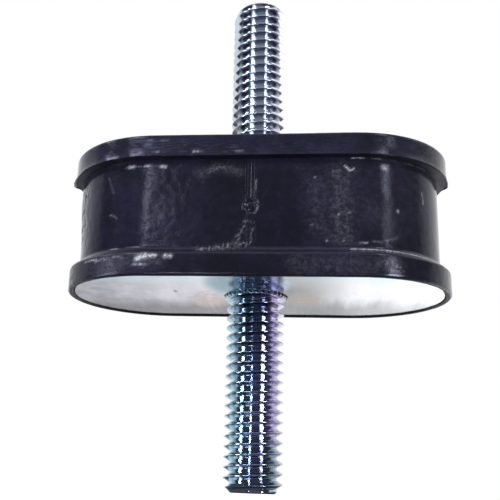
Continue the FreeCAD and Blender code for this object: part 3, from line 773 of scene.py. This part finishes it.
def rubber_material():
    material, n = new_material("moulded_rubber")
    where, (x, _, z) = n.millimetres()
    wrapped = n.add("ShaderNodeCombineXYZ")
    n.plug(n.layer("round"), wrapped.inputs[0])
    n.plug(z, wrapped.inputs[2])
    cloud = n.noise(where, 0.16, 3.0, 0.6)
    patch = n.noise(where, 0.6, 3.0, 0.6)
    grain = n.noise(where, 3.2, 4.0, 0.65)
    fine = n.noise(where, 14.0, 2.0, 0.5)
    drawn = n.noise(n.stretch(wrapped.outputs[0], (0.45, 1.0, 5.5)), 1.0, 4.0, 0.6)
    scratch = n.noise(n.stretch(wrapped.outputs[0], (0.5, 1.0, 11.0)), 1.0, 3.0, 0.55)

    # blue-violet bloom over a nearly black compound, less of it, so darker, in the middle of the front
    # round the gate, below the upper flange
    bloom = n.times(n.ramp(cloud, 0.36, 0.6, 0.35, 1.0), n.ramp(patch, 0.3, 0.66, 0.45, 1.0))
    middle = n.times(n.ramp(n.math("ABSOLUTE", x), 12.0, 5.0), n.ramp(z, 19.0, 16.0))
    bloom = n.times(bloom, n.minus(1.0, n.times(middle, 0.6)))
    bloom = n.times(bloom, n.ramp(drawn, 0.25, 0.7, 0.7, 1.15))
    violet = n.mix(n.ramp(x, 8.0, 24.0), BLOOM_LEFT, BLOOM_RIGHT)
    base = n.mix(bloom, COMPOUND, violet)

    # haze, dust and marks over it; the residue layer also holds painted glints and highlights, the scuff
    # layer painted sheen
    haze = n.times(n.ramp(grain, 0.5, 0.72), n.ramp(patch, 0.4, 0.7, 0.1, 0.45))
    base = n.mix(haze, base, HAZE)
    specks = n.times(n.layer("dust"), n.ramp(n.noise(where, 1.2, 5.0, 0.75), 0.40, 0.70, 0.15, 1.0))
    base = n.mix(specks, base, DUST)
    streaks = n.times(n.layer("streaks"), n.ramp(scratch, 0.52, 0.68))
    base = n.mix(n.times(streaks, 0.45), base, SCRATCH)
    scuff_and_sheen = n.times(n.layer("scuff_and_sheen"), n.ramp(grain, 0.35, 0.6, 0.3, 1.0))
    base = n.mix(scuff_and_sheen, base, SCUFF_AND_SHEEN)
    residue_and_glints = n.times(n.layer("residue_and_glints"), n.ramp(grain, 0.36, 0.58, 0.3, 1.25), clamp=True)
    base = n.mix(residue_and_glints, base, RESIDUE_AND_GLINT)

    # glossy skin, duller where it is marked or matte
    dull = n.plus(n.times(residue_and_glints, 0.25), n.times(n.layer("matte"), 0.4))
    roughness = n.plus(n.ramp(drawn, 0.3, 0.7, 0.09, 0.16), dull, clamp=True)
    height = n.plus(n.times(grain, 0.6), n.times(drawn, 0.7))
    height = n.plus(height, n.times(fine, 0.12))
    n.finish(Base_Color=base, Roughness=roughness, Specular_Tint=(0.80, 0.80, 1.0, 1.0),
             Normal=n.bump(height, FINE_RELIEF, 0.55))
    return material


def zinc_plate_material():
    material, n = new_material("zinc_plate")
    where, parts = n.millimetres()
    x, y, _ = parts
    cloud = n.noise(where, 0.16, 3.0)
    blot = n.noise(where, 0.7, 4.0, 0.6)
    streak = n.noise(n.stretch(where, (1.6, 0.10, 0.4)), 1.0, 4.0, 0.6)
    fine_streak = n.noise(n.stretch(where, (9.0, 0.5, 2.0)), 1.0, 3.0, 0.6)
    band = n.noise(n.stretch(where, (0.42, 0.035, 0.2)), 1.0, 3.0, 0.6)
    speck = n.noise(where, 9.0, 3.0, 0.7)

    # pale zinc with painted shade making it darker to the left and a painted reflection making it
    # brighter to the right, with faint clouds and bands
    base = n.mix(n.ramp(x, -31.0, -12.0), PLATE_SHADED_LEFT, PLATE_MIDDLE)
    base = n.mix(n.ramp(x, 5.0, 26.0), base, PLATE_LIT_RIGHT)
    base = n.mix(n.ramp(cloud, 0.42, 0.6, 0.0, 0.45), base, PINK_CLOUD)
    base = n.mix(n.ramp(blot, 0.5, 0.7, 0.0, 0.35), base, GREEN_BLOT)
    worn = n.times(n.ramp(x, 6.0, -14.0, 0.1, 0.3), n.ramp(y, -14.0, 0.0, 0.2, 1.0))
    base = n.mix(n.times(n.ramp(band, 0.5, 0.36), worn), base, DARK_BAND)
    base = n.mix(n.times(n.ramp(band, 0.52, 0.68, 0.0, 0.5), worn), base, PALE_BAND)

    # bluer along the near edge, darker along the far edge and right of the stud
    near_edge = n.ramp(n.plus(y, n.times(cloud, 6.0)), -5.0, -10.5, 0.0, 0.7)
    base = n.mix(near_edge, base, NEAR_EDGE)
    rough_edge = n.plus(y, n.times(n.minus(band, 0.5), 14.0))
    far_edge = n.times(n.ramp(rough_edge, -2.0, 10.0), n.ramp(x, 8.0, 29.0, 1.0, 0.5))
    base = n.mix(far_edge, base, FAR_EDGE)
    right_darkening = n.times(n.ramp(x, 17.0, 5.0), n.ramp(y, -13.0, -4.0, 0.6, 1.0))
    base = n.mix(n.times(right_darkening, n.ramp(x, 2.0, 4.0)), base, RIGHT_DARKENING)

    # tan patches beside the stud, and a painted reflection of the stud, blue-green, on the plate in front
    # of it
    tan = n.times(n.spot(parts, -7.9, 1.5, 4.4, 8.0), n.ramp(blot, 0.35, 0.6, 0.4, 0.95))
    base = n.mix(tan, base, TAN_LEFT)
    tan = n.times(n.spot(parts, 8.2, 1.8, 4.2, 7.0), n.ramp(blot, 0.35, 0.6, 0.3, 0.9))
    base = n.mix(tan, base, TAN_RIGHT)
    stud_reflection = n.times(n.spot(parts, -0.6, -9.5, 7.6, 10.5), n.ramp(blot, 0.3, 0.7, 1.0, 0.8))
    base = n.mix(n.ramp(stud_reflection, 0.0, 0.5, 0.0, 0.8), base, BLUE_STUD_REFLECTION)
    base = n.mix(n.times(n.spot(parts, -4.6, -9.5, 4.0, 9.5), 0.9), base, DARK_STUD_REFLECTION)

    # rolling streaks, specks and one pit
    base = n.mix(n.ramp(streak, 0.42, 0.75, 0.0, 0.12), base, STREAK)
    base = n.mix(n.ramp(fine_streak, 0.5, 0.75, 0.0, 0.08), base, FINE_STREAK)
    base = n.mix(n.ramp(speck, 0.66, 0.74, 0.0, 0.35), base, SPECK)
    pit = n.spot(parts, -13.0, -4.2, 0.45, 1.1)
    base = n.mix(n.times(pit, 0.85), base, PIT)

    roughness = n.ramp(blot, 0.3, 0.7, 0.11, 0.18)
    height = n.plus(n.times(streak, 0.3), n.times(fine_streak, 0.15))
    height = n.plus(height, n.times(blot, 0.5))
    n.finish(Base_Color=base, Metallic=1.0, Roughness=roughness, Normal=n.bump(height, FINE_RELIEF, 0.35))
    return material


def zinc_stud_material():
    material, n = new_material("zinc_stud")
    where, (x, _, z) = n.millimetres()
    cloud = n.noise(where, 0.22, 3.0, 0.6)
    blot = n.noise(where, 1.3, 4.0, 0.6)
    fine = n.noise(where, 12.0, 3.0, 0.6)

    # zinc with a blue tint on one side and a violet one on the other, plainer on the upper stud
    shifted = n.plus(x, n.times(n.minus(cloud, 0.5), 5.0))
    base = n.mix(n.ramp(shifted, -4.2, 4.2), STUD_BLUE, STUD_VIOLET)
    low_end = n.times(n.ramp(z, -21.0, -27.0), n.ramp(x, 0.5, 3.0))
    base = n.mix(low_end, base, STUD_LOW_END)
    low_side = n.times(n.ramp(z, 2.0, 1.0), n.ramp(x, 3.2, 4.2, 0.0, 0.8))
    base = n.mix(low_side, base, STUD_LOW_SIDE)
    base = n.mix(n.ramp(blot, 0.5, 0.75, 0.0, 0.4), base, STUD_BLOT)
    base = n.mix(n.ramp(fine, 0.62, 0.78, 0.0, 0.2), base, STUD_GRAIN)
    base = n.mix(n.ramp(z, 22.0, 24.0, 0.0, 0.75), base, STUD_UPPER)

    # painted shade: a darker front on the lower stud, deepest towards the plate, and dark arcs under the
    # crests
    front = n.ramp(n.math("ABSOLUTE", n.minus(x, 0.2)), 3.2, 1.6)
    front_shade = n.times(front, n.ramp(z, -12.0, -2.0, 0.02, 0.28))
    front_shade = n.times(front_shade, n.ramp(z, 2.0, 1.0))
    base = n.mix(front_shade, base, FRONT_SHADE)
    # painted shade: dark arcs under the crests, fading towards the sides
    crest_shade = n.times(n.layer("crest_shade"), n.ramp(n.math("ABSOLUTE", x), 4.1, 2.6, 0.0, 0.85))
    base = n.mix(crest_shade, base, CREST_SHADE)

    roughness = n.ramp(blot, 0.3, 0.7, 0.04, 0.09)
    height = n.plus(n.times(blot, 0.7), n.times(fine, 0.3))
    n.finish(Base_Color=base, Metallic=1.0, Roughness=roughness, Normal=n.bump(height, FINE_RELIEF, 0.25))
    return material


# Floor, light and camera


FLOOR = -45.0
FLOOR_REACH = 1500.0
LAMP_TINT = (0.90, 0.93, 1.0)
FAR = 600.0
NEAR = 200.0


def build_floor():
    """Pale paper: a little dimmer under the object, where the paper is painted dark grey as shade, pure
    white further out, like the wall behind.
    """
    around = 128
    turns = [2 * math.pi * k / around for k in range(around)]
    vertices = [(FLOOR_REACH * math.cos(a), FLOOR_REACH * math.sin(a), FLOOR) for a in turns]
    floor = mesh_object("floor", vertices, [tuple(range(around))])
    material, n = new_material("pale_floor")
    _, (x, y, _) = n.millimetres()
    away = n.math("SQRT", n.plus(n.times(x, x), n.times(y, y)))
    outer = n.ramp(away, 25.0, 100.0)
    bright = n.times(outer, n.ramp(y, -40.0, 40.0))
    rays = n.add("ShaderNodeLightPath").outputs
    paper = n.add("ShaderNodeBsdfDiffuse")
    # painted shade: the paper is dark grey under the object, and dark grey towards the front as well
    n.plug(n.mix(bright, (0.10, 0.10, 0.11), (0.45, 0.45, 0.45)), paper.inputs["Color"])

    # the backdrop's sweep, as metal sees it: dimmer on the left, with soft folds
    fan = n.math("DIVIDE", n.minus(x, 7.0), n.math("MAXIMUM", n.plus(y, 132.0), 60.0))
    sweep = n.plus(n.ramp(fan, -0.30, -0.08, 0.42, 0.74), n.ramp(fan, 0.0, 0.15, 0.0, 0.30))
    line = n.add("ShaderNodeCombineXYZ")
    n.plug(fan, line.inputs[0])
    folds = n.ramp(n.noise(line.outputs[0], 22.0, 3.0, 0.6), 0.35, 0.65, 0.84, 1.04)
    glow = n.add("ShaderNodeEmission")
    to_camera = n.times(rays["Is Camera Ray"], n.ramp(outer, 0.0, 1.0, 0.85, 1.0))
    to_gloss = n.times(rays["Is Glossy Ray"], n.times(bright, n.times(sweep, folds)))
    n.plug(n.plus(to_camera, to_gloss), glow.inputs["Strength"])
    both = n.add("ShaderNodeAddShader")
    n.plug(paper.outputs[0], both.inputs[0])
    n.plug(glow.outputs[0], both.inputs[1])
    n.plug(both.outputs[0], n.add("ShaderNodeOutputMaterial").inputs["Surface"])
    floor.data.materials.append(material)


def build_world():
    """White to the camera; to gloss, a white wall behind, a dim room in front and a paler ceiling."""
    world = bpy.data.worlds.new("studio")
    bpy.context.scene.world = world
    world.use_nodes = True
    n = Nodes(world.node_tree)
    parts = n.add("ShaderNodeSeparateXYZ")
    n.plug(n.add("ShaderNodeTexCoord").outputs["Generated"], parts.inputs[0])
    east, north, up = parts.outputs
    forward = n.times(n.math("MAXIMUM", east, 0.0), n.ramp(up, 0.37, 0.45, 0.0, 0.5))
    edge = n.plus(n.times(east, -0.06), forward)
    behind = n.ramp(n.plus(north, edge), -0.02, 0.16)
    raised = n.minus(up, n.times(n.math("ABSOLUTE", east), 0.35))
    low_side = n.ramp(north, 0.05, 0.9, 0.30, 1.0)
    side = n.plus(low_side, n.times(n.ramp(up, 0.36, 0.46), n.minus(1.0, low_side)))
    band = n.times(n.ramp(raised, 0.60, 0.36), side)
    wall = n.times(behind, band)
    room = n.mix(n.ramp(up, 0.32, 0.46), (0.035, 0.038, 0.060), (0.22, 0.24, 0.30))
    room = n.mix(n.ramp(up, 0.58, 0.80), room, (0.62, 0.65, 0.72))
    colour = n.mix(wall, room, (1.05, 1.05, 1.05))
    rays = n.add("ShaderNodeLightPath").outputs
    colour = n.mix(rays["Is Camera Ray"], colour, (1.0, 1.0, 1.0))
    glow = n.add("ShaderNodeBackground")
    n.plug(colour, glow.inputs["Color"])
    n.plug(glow.outputs[0], n.add("ShaderNodeOutputWorld").inputs["Surface"])


def strip_lamp(name, azimuth, low, high, across, radiance, distance=FAR, lean=0.0):
    """Soft strip lamp from low to high degrees above the horizon, and across degrees wide."""
    azimuth = math.radians(azimuth)
    middle = math.radians((low + high) / 2)
    toward = Vector((math.sin(azimuth) * math.cos(middle), -math.cos(azimuth) * math.cos(middle),
                     math.sin(middle)))
    lamp = bpy.data.lights.new(name, "AREA")
    lamp.shape = "RECTANGLE"
    lamp.size = MM * 2 * distance * math.tan(math.radians(across / 2))
    lamp.size_y = MM * 2 * distance * math.tan(math.radians((high - low) / 2))
    lamp.energy = radiance * math.pi * lamp.size * lamp.size_y
    lamp.color = LAMP_TINT
    piece = bpy.data.objects.new(name, lamp)
    bpy.context.collection.objects.link(piece)
    centre = Vector((0, 0, 11))
    piece.location = MM * (centre + distance * toward)
    leaning = Quaternion((0, 0, 1), math.radians(lean))
    piece.rotation_euler = (toward.to_track_quat("Z", "Y") @ leaning).to_euler()
    piece.visible_camera = False


def build_lamps():
    # the low lamps stand near, where the floor doesn't hide them from the lower stud
    strip_lamp("left_low_lamp", -59, -13, 7.5, 9.5, 14.0, NEAR, lean=-35)
    strip_lamp("middle_low_lamp", -12, -13, 1.5, 3, 14.0, NEAR, lean=-35)
    strip_lamp("right_low_lamp", 45, -9, 8, 13, 14.0, NEAR, lean=-25)
    strip_lamp("middle_lamp", -18.0, 15.8, 21.5, 8, 2.2)
    strip_lamp("middle_top_lamp", -18.0, 18.6, 21.3, 5, 9.5)
    strip_lamp("right_lamp", 48, 14, 20, 9, 0.3)
    strip_lamp("right_top_lamp", 45.5, 19.6, 21.8, 6, 9.5)
    strip_lamp("left_high_lamp", -70, 27, 40, 12, 6.0)
    strip_lamp("middle_high_lamp", -34, 27, 40, 14, 5.5)
    strip_lamp("right_high_lamp", 37, 28, 40, 7.5, 5.0)


CAMERA_AZIMUTH = 7.21
CAMERA_BELOW = 15.92
CAMERA_ROLL = 2.13
CAMERA_DISTANCE = 138.9
FOCAL_PIXELS = 808.0
IMAGE_PIXELS = 500.0
SENSOR = 36.0
AIM = Vector((-9.71, 0.0, 8.25))


def build_camera():
    azimuth, below = math.radians(CAMERA_AZIMUTH), math.radians(CAMERA_BELOW)
    back = Vector((math.sin(azimuth) * math.cos(below), -math.cos(azimuth) * math.cos(below),
                   -math.sin(below)))
    right = Vector((0, 0, 1)).cross(back).normalized()
    above = back.cross(right)
    roll = math.radians(CAMERA_ROLL)
    across = math.cos(roll) * right + math.sin(roll) * above
    upright = -math.sin(roll) * right + math.cos(roll) * above
    camera = bpy.data.cameras.new("camera")
    camera.sensor_width = SENSOR
    camera.lens = FOCAL_PIXELS * SENSOR / IMAGE_PIXELS
    camera.shift_x = 0.1
    camera.clip_start = 0.01
    camera.clip_end = 20
    piece = bpy.data.objects.new("camera", camera)
    bpy.context.collection.objects.link(piece)
    place = MM * (AIM + CAMERA_DISTANCE * back)
    turned = Matrix((across, upright, back)).transposed().to_4x4()
    piece.matrix_world = Matrix.Translation(place) @ turned
    bpy.context.scene.camera = piece


# Assembly


def dress(piece, material, slot, *nodes):
    piece.data.materials.clear()
    piece.data.materials.append(material)
    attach(piece, "root")
    if nodes:
        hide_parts(*nodes)


rubber = rubber_material()
stud_zinc = zinc_stud_material()
plate_zinc = zinc_plate_material()
dress(build_rubber(), rubber, "rubber", "rubber_body")
dress(build_sliver(), rubber, "rubber")
lower_stud = build_stud("lower_threaded_stud", LOWER_CREST, 0.0, -1, 0.09)
dress(lower_stud, stud_zinc, "stud_zinc", "lower_stud")
upper_stud = build_stud("upper_threaded_stud", UPPER_CREST, UPPER_FACE, 1, 0.22)
dress(upper_stud, stud_zinc, "stud_zinc", "upper_stud")
for node in ("lower_plate", "upper_plate"):
    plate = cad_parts[node]
    for place in plate.material_slots:
        place.link = "OBJECT"
        place.material = plate_zinc

build_floor()
build_world()
build_lamps()
build_camera()
bpy.context.scene.view_settings.view_transform = "Standard"
